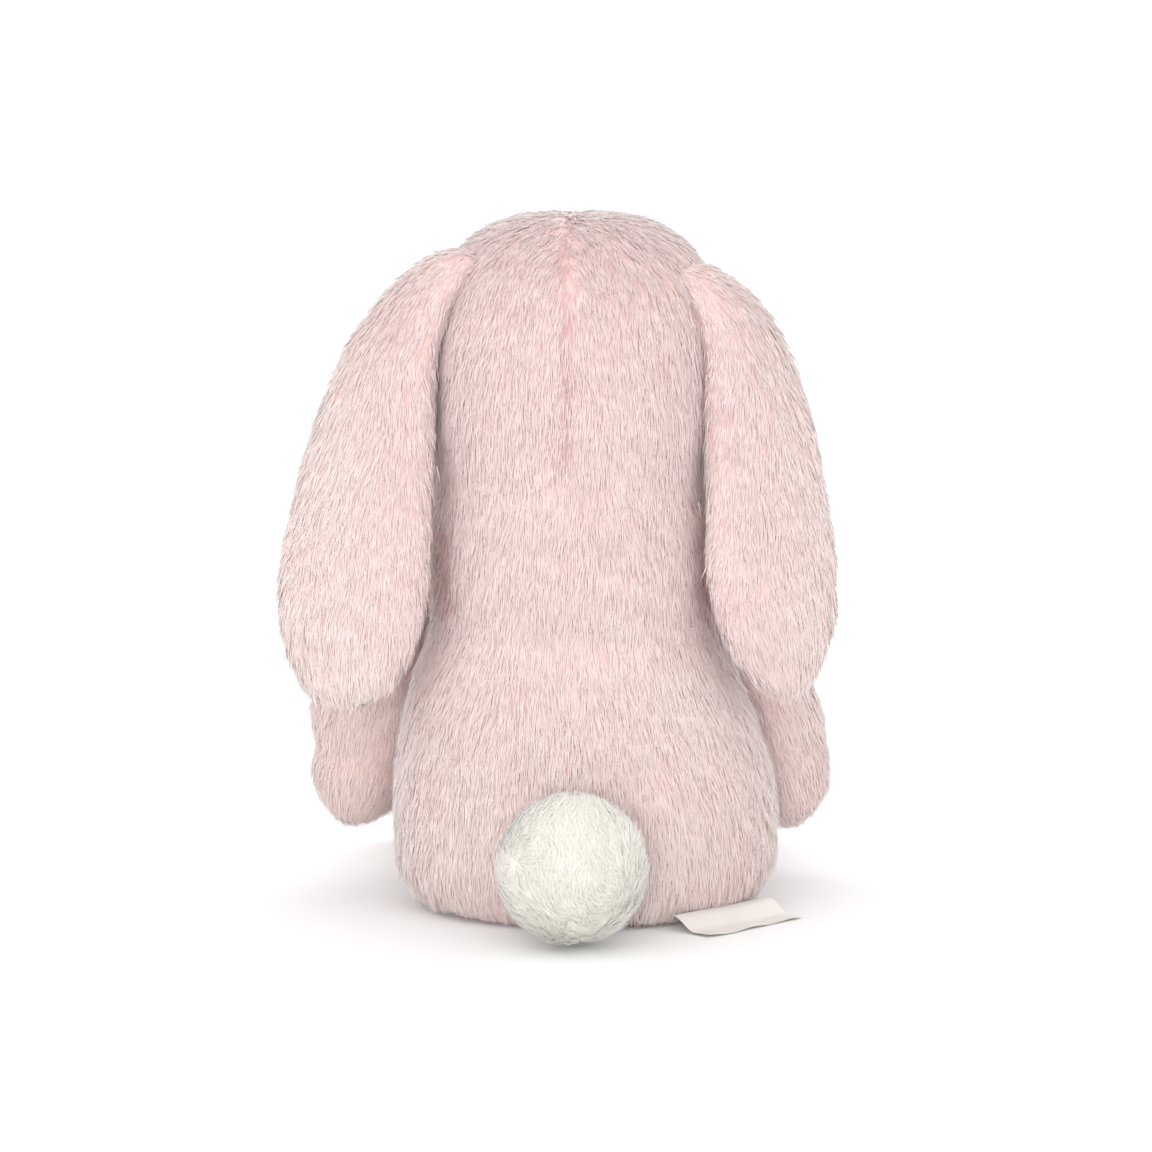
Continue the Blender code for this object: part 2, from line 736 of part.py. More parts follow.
def main():
    for old in list(bpy.data.objects):
        bpy.data.objects.remove(old)
    body = body_form()
    inner_rim = NECK_RADIUS - SKIN - FIT
    cup = NECK_BALL_RADIUS + FIT
    rise = math.sqrt(cup**2 - inner_rim**2)
    ball = (0.0, NECK_Y, BODY_HEIGHT + rise)
    head = head_form(ball)
    make_body(body, ball)
    make_head(head, ball)
    root_height = ball[2] + HEAD_WIDEST_OVER_BALL + HEAD_RISE - EAR_ROOT_DROP
    for side, word in ((1, "left"), (-1, "right")):
        u, v = side * math.pi / 2, head.v_at(root_height)
        root = head.point(u, v) + (EAR_HALF_THICK + 2 * FIT) * head.normal(u, v)
        root[1] = EAR_ROOT_Y
        make_ear(side, word, root)
        make_arm(side, word, body)
        make_leg(side, word)
    make_tail(body)
    make_label(body)


main()
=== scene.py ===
"""Pink plush rabbit with lop ears, sitting, seen from behind in soft daylight.

Each body of the toy is a padded cloth form, and a pile of separate fibres grows on it, laid
the way the plush is combed. Lengths are in millimetres until a mesh is made.
"""

import math

import bpy
import numpy as np
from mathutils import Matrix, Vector


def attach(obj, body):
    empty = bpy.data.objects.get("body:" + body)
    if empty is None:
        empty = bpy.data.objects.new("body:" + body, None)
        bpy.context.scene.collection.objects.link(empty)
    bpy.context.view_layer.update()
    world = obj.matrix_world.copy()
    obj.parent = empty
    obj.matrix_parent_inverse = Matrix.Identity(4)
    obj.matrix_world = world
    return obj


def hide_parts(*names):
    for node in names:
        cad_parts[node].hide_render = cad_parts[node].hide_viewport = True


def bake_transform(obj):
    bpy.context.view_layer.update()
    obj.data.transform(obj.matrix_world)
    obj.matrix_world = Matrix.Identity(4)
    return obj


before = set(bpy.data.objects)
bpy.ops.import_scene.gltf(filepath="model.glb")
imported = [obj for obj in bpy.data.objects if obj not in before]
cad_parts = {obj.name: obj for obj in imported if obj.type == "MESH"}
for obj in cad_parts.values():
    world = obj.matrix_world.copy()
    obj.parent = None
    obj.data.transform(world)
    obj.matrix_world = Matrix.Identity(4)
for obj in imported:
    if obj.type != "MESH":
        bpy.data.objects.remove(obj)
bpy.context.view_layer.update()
scene = bpy.context.scene

MM = 0.001
TAU = 2 * math.pi
rng = np.random.default_rng(41)

# ---------------------------------------------------------------- camera, light and floor

CAMERA_DISTANCE = 1.7
CAMERA_ELEVATION = math.radians(8.0)
AIM = Vector((0.0, 0.0, 0.1041))
LENS_MM, SENSOR_MM = 170.2, 36.0

cam_data = bpy.data.cameras.new("camera")
cam_data.lens = LENS_MM
cam_data.sensor_width = SENSOR_MM
camera = bpy.data.objects.new("camera", cam_data)
camera.location = AIM + CAMERA_DISTANCE * Vector(
    (0, math.cos(CAMERA_ELEVATION), math.sin(CAMERA_ELEVATION))
)
camera.rotation_euler = (AIM - camera.location).to_track_quat("-Z", "Y").to_euler()
scene.collection.objects.link(camera)
scene.camera = camera
scene.view_settings.view_transform = "Standard"


def soft_light(name, place, size, watts, target=(0, 0, 0.1)):
    data = bpy.data.lights.new(name, "AREA")
    data.shape = "DISK"
    data.size = size
    data.energy = watts
    light = bpy.data.objects.new(name, data)
    light.location = place
    aim = Vector(target) - Vector(place)
    light.rotation_euler = aim.to_track_quat("-Z", "Y").to_euler()
    scene.collection.objects.link(light)


WHITE_SKY = 1.2  # bright enough for a white ground to meet it without a line

soft_light("overhead", (0.1, 0.35, 1.5), 1.2, 0.4)
soft_light("window", (0.25, 1.75, 0.25), 0.5, 5.2)
soft_light("front_fill", (-0.3, -1.2, 0.9), 1.0, 2.0)
world = bpy.data.worlds.new("studio")
scene.world = world
world.use_nodes = True
world.node_tree.nodes["Background"].inputs["Color"].default_value = (1, 1, 1, 1)
world.node_tree.nodes["Background"].inputs["Strength"].default_value = WHITE_SKY


# ---------------------------------------------------------------- materials


class Wire:
    """A socket in a finish's nodes. Arithmetic on it adds Math nodes."""

    def __init__(self, finish, socket):
        self.finish, self.socket = finish, socket

    def _math(self, operation, first, second):
        made = self.finish.add("Math", {"operation": operation}, {0: first, 1: second})
        return made(0)

    def __add__(self, other):
        return self._math("ADD", self, other)

    def __mul__(self, other):
        return self._math("MULTIPLY", self, other)

    __radd__, __rmul__ = __add__, __mul__


class Finish:
    """A material with one Principled shader."""

    def __init__(self, name, **plain):
        self.material = bpy.data.materials.new(name)
        self.material.use_nodes = True
        self.tree = self.material.node_tree
        self.shader = self.tree.nodes["Principled BSDF"]
        for socket, value in plain.items():
            self.set(socket.replace("_", " "), value)

    def set(self, socket, value):
        self._join(self.shader.inputs[socket], value)

    def _join(self, socket, value):
        if isinstance(value, Wire):
            self.tree.links.new(value.socket, socket)
        else:
            socket.default_value = value

    def add(self, kind, settings, values):
        node = self.tree.nodes.new("ShaderNode" + kind)
        for key, value in settings.items():
            if key == "stops":
                ramp = node.color_ramp
                while len(ramp.elements) < len(value):
                    ramp.elements.new(0.5)
                for element, (place, colour) in zip(ramp.elements, value):
                    element.position = place
                    element.color = (*colour, 1)
            else:
                setattr(node, key, value)
        for key, value in values.items():
            self._join(node.inputs[key], value)
        return lambda out: Wire(self, node.outputs[out])

    def mix(self, factor, low, high):
        low, high = (
            (*c, 1) if isinstance(c, tuple) and len(c) == 3 else c for c in (low, high)
        )
        made = self.add(
            "Mix", {"data_type": "RGBA"}, {"Factor": factor, 6: low, 7: high}
        )
        return made(2)

    def noise(self, scale, detail=2.0, place=None):
        place = place or self.add("TexCoord", {}, {})("Object")
        return self.add(
            "TexNoise", {}, {"Vector": place, "Scale": scale, "Detail": detail}
        )("Fac")

    def bump(self, height, strength, distance):
        made = self.add(
            "Bump",
            {},
            {"Height": height, "Strength": strength, "Distance": distance},
        )
        self.set("Normal", made("Normal"))


# painted shade: the deep pink that the pile's pockets and creases are painted, in place of the
# shade that falls there
PAINTED_POCKET_SHADE = (0.64, 0.31, 0.30)
PINK_DEEP = (0.90, 0.63, 0.605)
PINK_MID = (0.93, 0.745, 0.72)
PINK_TIP = (0.95, 0.81, 0.785)
LILAC = (0.915, 0.73, 0.73)
BEIGE = (0.96, 0.85, 0.81)


def pile_finish(name, deep, root, middle, tip, cool, warm):
    """Fibres: dark at the root and pale at the tip along V, each with its own tone along U; the
    tone also carries painted light and shade.
    """
    made = Finish(name, Roughness=0.8, Sheen_Weight=1.0, Sheen_Roughness=0.4)
    made.set("Specular IOR Level", 0.18)
    where = made.add("UVMap", {"uv_map": "OFBake"}, {})("UV")
    split = made.add("SeparateXYZ", {}, {"Vector": where})
    tone, along = split("X"), split("Y")
    length = made.add(
        "ValToRGB",
        {"stops": [(0.0, root), (0.42, middle), (1.0, tip)]},
        {"Fac": along},
    )("Color")
    # for the pink pile the lowest stop, deep, is the painted pocket shade, and the high tones
    # also paint the lit outer edges of the ears
    tint = made.add(
        "ValToRGB",
        {"stops": [(0.0, deep), (0.2, cool), (0.5, middle), (1.0, warm)]},
        {"Fac": tone},
    )("Color")
    made.set("Base Color", made.mix(0.35 + 0.3 * along, length, tint))
    return made.material


def cloth_finish(name, low, high):
    """The knitted backing that the pile is tied into."""
    made = Finish(name, Roughness=0.95, Sheen_Weight=0.2)
    patches = made.noise(45.0, 4.0)
    made.set("Base Color", made.mix(patches, low, high))
    made.bump(made.noise(1400.0, 1.0), 0.5, 0.0004)
    return made.material


pink_pile = pile_finish(
    "pink_pile", PAINTED_POCKET_SHADE, PINK_DEEP, PINK_MID, PINK_TIP, LILAC, BEIGE
)
pink_cloth = cloth_finish("pink_backing", (0.78, 0.54, 0.515), (0.83, 0.60, 0.575))
cream_pile = pile_finish(
    "cream_pile",
    (0.965, 0.92, 0.82),
    (0.98, 0.945, 0.86),
    (0.987, 0.96, 0.885),
    (0.99, 0.97, 0.91),
    (0.985, 0.955, 0.885),
    (0.99, 0.963, 0.89),
)
cream_cloth = cloth_finish("cream_backing", (0.93, 0.90, 0.82), (0.96, 0.935, 0.87))

# ---------------------------------------------------------------- forms

SKIN_INSET = 0.5  # the cloth lies this far inside the outer face of the solid plush


def unit(vectors):
    size = np.linalg.norm(vectors, axis=-1, keepdims=True)
    return vectors / np.maximum(size, 1e-9)


def through(x, shape, column):
    """A smooth curve through one column of a shape's rows."""
    xs = np.array([row[0] for row in shape])
    ys = np.array([row[column] for row in shape])
    slopes = np.gradient(ys, xs)
    i = np.clip(np.searchsorted(xs, x) - 1, 0, len(xs) - 2)
    step = xs[i + 1] - xs[i]
    t = np.clip((x - xs[i]) / step, 0, 1)
    return (
        (1 + 2 * t) * (1 - t) ** 2 * ys[i]
        + t * (1 - t) ** 2 * step * slopes[i]
        + t**2 * (3 - 2 * t) * ys[i + 1]
        - t**2 * (1 - t) * step * slopes[i + 1]
    )


def smooth_step(low, high, x):
    t = np.clip((x - low) / (high - low), 0, 1)
    return t * t * (3 - 2 * t)


class Waves:
    """A smooth random field made of a few crossing waves."""

    def __init__(self, length, count=9):
        self.k = unit(rng.normal(size=(count, 3))) * TAU / length
        self.k *= rng.uniform(0.6, 1.5, (count, 1))
        self.phase = rng.uniform(0, TAU, count)

    def __call__(self, points):
        return np.sin(points @ self.k.T + self.phase).mean(axis=-1) * 2.0


class Skin:
    """A closed cloth form as a grid of points: rows run along v, columns round u.

    u is the angle from the form's back towards its +X side. comb is +1 where the pile lies
    along v, or -1.
    """

    def __init__(self, points, comb=1, inset=SKIN_INSET):
        self.comb = comb
        self.points = points
        self.shape = points.shape[:2]
        self.measure()
        if inset:
            self.push(-inset)

    def measure(self):
        p = self.points
        around = np.roll(p, -1, axis=1) - np.roll(p, 1, axis=1)
        along = np.gradient(p, axis=0)
        self.normals = unit(np.cross(along, around))
        for end, near in ((0, 1), (-1, -2)):
            self.normals[end] = unit(self.normals[near].mean(axis=0))
        lay = unit(along) * self.comb
        lay -= (lay * self.normals).sum(-1, keepdims=True) * self.normals
        self.lay = unit(lay)

    def push(self, amount):
        amount = np.broadcast_to(amount, self.shape)[..., None]
        self.points = self.points + amount * self.normals
        self.measure()

    def slant(self, amount):
        """Turns the lay towards +u by an amount for each column."""
        around = unit(np.roll(self.points, -1, axis=1) - np.roll(self.points, 1, axis=1))
        self.lay = unit(self.lay + np.asarray(amount)[None, :, None] * around)

    def cells(self, where):
        """Each cell's area, times where(u in degrees, v, point) at its middle."""
        p = self.points
        right = np.roll(p, -1, axis=1)
        a, b = p[1:] - p[:-1], right[:-1] - p[:-1]
        area = np.linalg.norm(np.cross(a, b), axis=-1)
        rows, columns = area.shape
        u = (np.arange(columns) + 0.5) / columns * 360
        v = (np.arange(rows) + 0.5) / rows
        uu, vv = np.meshgrid(u, v)
        return area * where(uu, vv, 0.5 * (p[:-1] + right[1:]))

    def at(self, field, row, column):
        """The field between grid points."""
        r0 = np.clip(row.astype(int), 0, self.shape[0] - 2)
        c0 = column.astype(int) % self.shape[1]
        fr, fc = (row - r0)[:, None], (column - column.astype(int))[:, None]
        c1 = (c0 + 1) % self.shape[1]
        low = field[r0, c0] * (1 - fc) + field[r0, c1] * fc
        high = field[r0 + 1, c0] * (1 - fc) + field[r0 + 1, c1] * fc
        return low * (1 - fr) + high * fr

    def mesh(self, name, material):
        rows, columns = self.shape
        verts = [*self.points.reshape(-1, 3)]
        faces = []
        for i in range(rows - 1):
            for j in range(columns):
                k = (j + 1) % columns
                faces.append(
                    (
                        i * columns + j,
                        (i + 1) * columns + j,
                        (i + 1) * columns + k,
                        i * columns + k,
                    )
                )
        last = (rows - 1) * columns
        faces.append(tuple(range(columns)))
        faces.append(tuple(last + j for j in reversed(range(columns))))
        return solid(name, np.array(verts), faces, material)


def solid(name, verts, faces, material):
    mesh = bpy.data.meshes.new(name)
    mesh.from_pydata([Vector(p) for p in np.asarray(verts) * MM], [], faces)
    mesh.materials.append(material)
    mesh.shade_smooth()
    obj = bpy.data.objects.new(name, mesh)
    scene.collection.objects.link(obj)
    return obj


def ovals(rows, count, columns, matrix=None, bulge=None):
    """A grid of points on stacked ovals. A row is height, half-width, back, front, centre's Y."""
    rows = np.array(rows, float)
    steps = np.linalg.norm(np.diff(rows[:, :2], axis=0), axis=1)
    v = np.concatenate([[0], np.cumsum(steps)]) / steps.sum()
    wanted = np.linspace(0, 1, count)
    z, wide, back, front, y = (np.interp(wanted, v, c)[:, None] for c in rows.T)
    u = np.linspace(0, TAU, columns, endpoint=False)[None, :]
    deep = np.where(np.cos(u) > 0, back, front)
    if bulge:
        deep = deep + bulge(u, z)
    points = np.stack(
        [wide * np.sin(u), y + deep * np.cos(u), z + 0 * u], axis=-1
    )
    if matrix is not None:
        points = points @ matrix[:3, :3].T + matrix[:3, 3]
    return points


def frame_matrix(z_axis, y_hint, origin):
    z = unit(np.asarray(z_axis, float))
    y = unit(np.asarray(y_hint, float) - np.dot(y_hint, z) * z)
    matrix = np.eye(4)
    matrix[:3, 0], matrix[:3, 1], matrix[:3, 2] = np.cross(y, z), y, z
    matrix[:3, 3] = origin
    return matrix


# The toy's own sizes, as its solid model has them
BODY_HEIGHT, BODY_WIDE, BODY_BACK, BODY_FRONT = 107.0, 59.5, 47.0, 48.5
NECK_RADIUS, NECK_Y = 39.5, -2.0
BODY_SHAPE = (
    (0.010, 0.80, 0.82),
    (0.045, 0.89, 0.90),
    (0.110, 0.965, 0.96),
    (0.260, 1.00, 1.00),
    (0.420, 0.975, 0.985),
    (0.560, 0.915, 0.94),
    (0.700, 0.835, 0.875),
    (0.840, 0.750, 0.81),
)
BALL_RADIUS = 44.0
BALL = np.array((0.0, NECK_Y, 133.7))
HEAD_WIDE, HEAD_RISE, HEAD_WIDEST = 46.5, 60.0, 24.0
CROWN_ROUNDNESS, BROW_ROUNDNESS = 2.9, 2.25  # from side to side, and from front to back
SIDE_SEAM = 118.0  # degrees from the middle of the back
LEAN = 3.0  # how far the seat stands to the right of the neck


def torso_skin():
    shape = [
        (h, w * BODY_WIDE, d * BODY_BACK, d * BODY_FRONT) for h, w, d in BODY_SHAPE
    ]
    shape.append((1.0, NECK_RADIUS, NECK_RADIUS + NECK_Y, NECK_RADIUS - NECK_Y))
    base = [through(shape[0][0], shape, k) for k in (1, 2, 3)]
    rows = [(0.4, *(f * b for b in base), 0) for f in (0.02, 0.35, 0.7, 0.9)]
    for h in np.linspace(shape[0][0], 1, 70):
        rows.append((h * BODY_HEIGHT, *(through(h, shape, k) for k in (1, 2, 3)), 0))
    rows.append((BODY_HEIGHT + 2.2, *[NECK_RADIUS - 0.6] * 3, NECK_Y))
    rows.append((BODY_HEIGHT + 2.4, *[NECK_RADIUS - 2.6] * 3, NECK_Y))
    cup = BALL_RADIUS + 1
    for r in np.linspace(NECK_RADIUS - 5, 3, 12):
        low = BALL[2] - math.sqrt(cup**2 - r * r)
        rows.append((low, r, r, r, NECK_Y))
    points = ovals(rows, 140, 96)
    points[..., 0] -= LEAN * smooth_step(80, 25, points[..., 2])
    collar = 1 + 0.042 * smooth_step(84, 104, points[..., 2])
    points[..., :2] *= np.where(
        np.hypot(points[..., 0], points[..., 1]) > 33, collar, 1
    )[..., None]
    return Skin(points, comb=-1)


def head_skin():
    """Round where it turns in the neck, then full at the cheeks and broad across the crown."""
    widest = BALL[2] + HEAD_WIDEST
    turn = np.linspace(0.03, math.pi / 2, 60)
    z = BALL[2] - BALL_RADIUS * np.cos(turn)
    nape = 2.0 * smooth_step(102, 113, z) * smooth_step(133, 116, z)
    rows = list(zip(z, BALL_RADIUS * np.sin(turn) + nape))
    rows += [
        (z, BALL_RADIUS + (HEAD_WIDE - BALL_RADIUS) * smooth_step(BALL[2], widest, z))
        for z in np.linspace(BALL[2], widest, 14)[1:-1]
    ]
    power = 2 / CROWN_ROUNDNESS
    rows += [
        (
            widest + (HEAD_RISE - 0.4) * math.sin(turn) ** power,
            HEAD_WIDE * math.cos(turn) ** power,
        )
        for turn in np.linspace(0, math.pi / 2 - 0.004, 70)
    ]

    def deep(z):
        """The head is rounder from front to back than it is from side to side."""
        share = np.clip((z - widest) / (HEAD_RISE - 0.4), 0, 1)
        side_to_side = 1 - share**CROWN_ROUNDNESS
        ratio = (1 - share**BROW_ROUNDNESS) / np.maximum(side_to_side, 1e-6)
        power = 1 / BROW_ROUNDNESS
        return ratio**power * side_to_side ** (power - 1 / CROWN_ROUNDNESS)

    def muzzle(u, z):
        off = (u % TAU - math.pi) / math.radians(27)
        over = (z - BALL[2] - 9) / 15
        return 12 * np.exp(-(off**2) - over**2) * smooth_step(111, 123, z)

    rows = [(z, r, r * deep(z), r * deep(z), BALL[1]) for z, r in rows]
    return Skin(ovals(rows, 130, 96, bulge=muzzle), comb=-1)


# An ear's rows: height, how far out, how far back, half-width, half-thickness, and how far in
# degrees its back turns outward
EAR_ROWS = {
    1: (
        (199, 27, 8.0, 7.0, 4.5, 70),
        (201, 35.5, 9.5, 10.0, 6.2, 60),
        (194.5, 44.5, 11.0, 12.0, 6.8, 50),
        (186, 50.5, 12.5, 13.5, 7.2, 40),
        (175, 56, 14.0, 15.5, 7.4, 32),
        (157, 60.5, 16.0, 18.5, 7.8, 24),
        (129, 65.5, 18.5, 22.0, 8.2, 18),
        (101, 68.8, 20.5, 23.2, 8.2, 16),
        (89, 69.8, 21.5, 21.5, 7.8, 15),
        (80, 69.6, 22.0, 18.0, 7.2, 15),
        (73, 68.8, 22.5, 13.0, 6.2, 15),
        (69, 68.0, 22.5, 5.0, 3.0, 15),
    ),
    -1: (
        (195, 26, 8.0, 7.0, 4.5, 70),
        (197, 33.5, 9.5, 10.0, 6.2, 60),
        (192, 42, 11.0, 12.0, 6.8, 52),
        (184.5, 47.5, 12.5, 13.5, 7.2, 44),
        (174, 51.8, 14.5, 15.5, 7.4, 38),
        (157, 55.2, 17.0, 18.0, 7.8, 32),
        (129, 58.6, 20.0, 20.5, 8.0, 28),
        (107, 60.4, 21.5, 21.5, 8.0, 26),
        (92, 62.4, 22.5, 19.0, 7.6, 26),
        (82, 63.6, 23.0, 14.5, 6.8, 26),
        (75, 64.2, 23.5, 9.0, 5.0, 26),
        (72, 64.4, 23.5, 3.5, 2.5, 26),
    ),
}


def ear_skin(side):
    """A long padded leaf, rolled at its root in the head, that hangs with its back outward."""
    rows = np.array(EAR_ROWS[side], float)
    steps = np.hypot(np.diff(rows[:, 0]), np.diff(rows[:, 1]))
    v = np.concatenate([[0], np.cumsum(steps)]) / steps.sum()
    table = np.column_stack([v, rows])
    wanted = np.linspace(0, 1, 130)
    z, x, y, wide, deep, face = (
        np.array([through(t, table, k) for t in wanted]) for k in range(1, 7)
    )
    centre = np.stack([side * x, y, z], axis=-1)
    down = unit(np.gradient(centre, axis=0))
    face = np.radians(face)
    across = np.stack([side * np.cos(face), -np.sin(face), 0 * face], axis=-1)
    across = unit(across - (across * down).sum(-1, keepdims=True) * down)
    outward = np.cross(down, across) * -side
    x_axis = np.cross(outward, down)
    u = np.linspace(0, TAU, 72, endpoint=False)[None, :, None]
    bow = np.sign(np.cos(u)) * np.abs(np.cos(u)) ** 0.8
    grid = (
        centre[:, None]
        + wide[:, None, None] * np.sin(u) * x_axis[:, None]
        + deep[:, None, None] * bow * outward[:, None]
    )
    skin = Skin(grid, inset=0.4)
    skin.slant(0.2 * np.abs(np.sin(u[0, :, 0])) ** 2 * np.sign(np.sin(2 * u[0, :, 0])))
    return skin


def beside_body(torso, angle_deg, height, radius):
    """A centre that keeps a round limb against the torso's side."""
    column = np.array([angle_deg % 360 / 360 * torso.shape[1]])
    outer = torso.points[:, int(column[0])]
    grown = outer[: int(0.82 * len(outer))]
    row = np.array([float(np.interp(height, grown[:, 2], np.arange(len(grown))))])
    point = torso.at(torso.points, row, column)[0]
    normal = torso.at(torso.normals, row, column)[0]
    return point + (radius + SKIN_INSET + 1.0) * normal


def arm_skin(side, torso):
    """A sausage from the shoulder to the paw; the left one hangs a little away from the body."""
    top_radius, paw_radius = 14.0, 16.0
    middle, point = {1: (20.2, 1.3), -1: (17.2, 1.2)}[side]
    shape = (
        (0, top_radius),
        (0.3, 16.2),
        (0.54, middle - 0.8),
        (0.76, middle),
        (1, paw_radius),
    )
    top = beside_body(torso, side * 120, 95, top_radius)
    angle, height, away = {1: (114, 41.5, 3.0), -1: (124, 36.0, 0.0)}[side]
    top = top + (away, 0, 0)
    paw = beside_body(torso, side * angle, height, paw_radius) + (0.4 * away, 0, 0)
    length = np.linalg.norm(paw - top)
    rows = [
        (-top_radius * math.cos(a), top_radius * math.sin(a))
        for a in np.linspace(0.05, math.pi / 2, 16)
    ]
    rows += [
        (t * length, through(t, shape, 1)) for t in np.linspace(0.05, 0.95, 14)
    ]
    rows += [
        (length + point * paw_radius * math.sin(a), paw_radius * math.cos(a))
        for a in np.linspace(0, math.pi / 2 - 0.05, 16)
    ]
    matrix = frame_matrix(paw - top, (side, 0, 0), top)
    return Skin(ovals([(z, r, r, r, 0) for z, r in rows], 64, 48, matrix))


HIP, HIP_APART, HIP_AHEAD, LEG = 18.5, 33.0, 61.5, 47.0
SPLAY = math.radians(13)


def leg_skin(side):
    """A short leg along the floor, with the foot turned up and a flat sole."""
    hip = np.array([side * HIP_APART, -HIP_AHEAD, HIP + 0.4])
    rows = [
        (-HIP * math.cos(a), *[HIP * math.sin(a)] * 3, 0)
        for a in np.linspace(0.05, math.pi / 2, 16)
    ]
    ankle, toe, wide_foot, rise = 0.94 * HIP, 1.06 * HIP, 20.0, 24.0
    shape = (
        (0.0, HIP, HIP, HIP),
        (0.5, ankle, ankle, ankle),
        (0.85, wide_foot, rise, toe),
        (1.0, 0.95 * wide_foot, 0.96 * rise, 0.97 * toe),
    )
    for t in np.linspace(0.04, 1, 24):
        wide, up, under = (through(t, shape, k) for k in (1, 2, 3))
        rows.append((t * LEG, wide, up, under, under - HIP))
    z, wide, up, under, y = rows[-1]
    for a in (0.25, 0.5, 0.75, 1.0):
        k = 1 - 0.12 * a**2
        rows.append((z + 4.0 * math.sin(a * math.pi / 2), k * wide, k * up, k * under, y))
    for k in (0.8, 0.65, 0.45, 0.25, 0.05):
        rows.append((z + 4.2, k * wide, k * up, k * under, y))
    ahead = (side * math.sin(SPLAY), -math.cos(SPLAY), 0)
    return Skin(ovals(rows, 90, 56, frame_matrix(ahead, (0, 0, 1), hip)))


TAIL_SEAM, TAIL_RADIUS = 47.2, 22.6
TAIL_MIDDLE = (1.2, TAIL_SEAM + 20.5, 24.2)
TAIL_POLE = (0.1, -0.15, 0.98)  # where the pompom's pile closes, out of sight on top


def tail_skin():
    """A ball combed from underneath to the top."""
    rows = [
        (-TAIL_RADIUS * math.cos(a), *[TAIL_RADIUS * math.sin(a)] * 3, 0)
        for a in np.linspace(0.06, math.pi - 0.06, 44)
    ]
    matrix = frame_matrix(TAIL_POLE, (0, -1, 0.3), TAIL_MIDDLE)
    return Skin(ovals(rows, 60, 64, matrix), inset=0.8)


# ---------------------------------------------------------------- pile

FIBRE_WIDTH = 0.30
JOINTS = np.array([0.0, 0.45, 1.0])  # along a fibre
LOCK_SPREAD = 1.15  # how far the fibres of one lock stand apart
LOWEST = 0.25  # no fibre comes nearer to the floor
turns_wide, turns_fine = Waves(34.0), Waves(9.0)
tones_wide, tones_fine = Waves(40.0), Waves(11.0)


